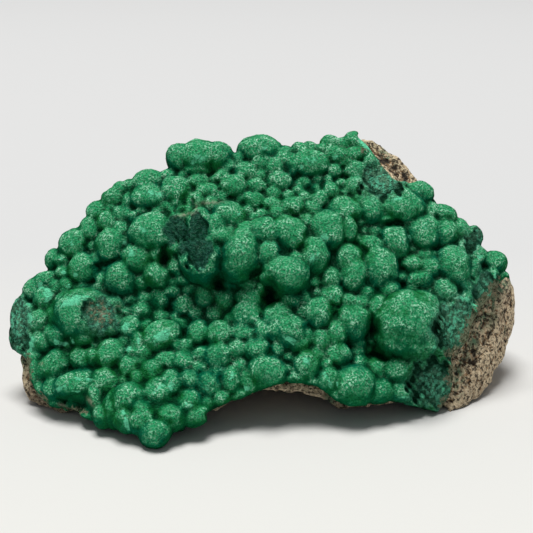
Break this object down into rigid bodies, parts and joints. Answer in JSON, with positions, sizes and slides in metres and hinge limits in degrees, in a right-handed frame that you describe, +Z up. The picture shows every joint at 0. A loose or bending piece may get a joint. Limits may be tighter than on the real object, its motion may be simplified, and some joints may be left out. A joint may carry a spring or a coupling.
{
  "type": "malachite specimen",
  "caption": "Free-standing mineral specimen: a crust of round green malachite knobs over broken, porous brown host rock, arched underneath and standing on its own feet",
  "frame": {"origin": "on the surface that the stone stands on, under the middle of its box", "axes": "+X along the stone's length, to the right seen from its knobbed face; +Y from that face to the broken back; +Z up"},
  "size_m": [0.1872, 0.092, 0.0894],
  "materials": {
    "malachite": "velvety green botryoidal malachite, finely sugared, paler where the knobs are rubbed",
    "host_rock": "broken porous limonite, brown to cream, pitted"
  },
  "bodies": {
    "root": {"malachite_crust": "malachite", "host_rock": "host_rock"}
  },
  "joints": []
}
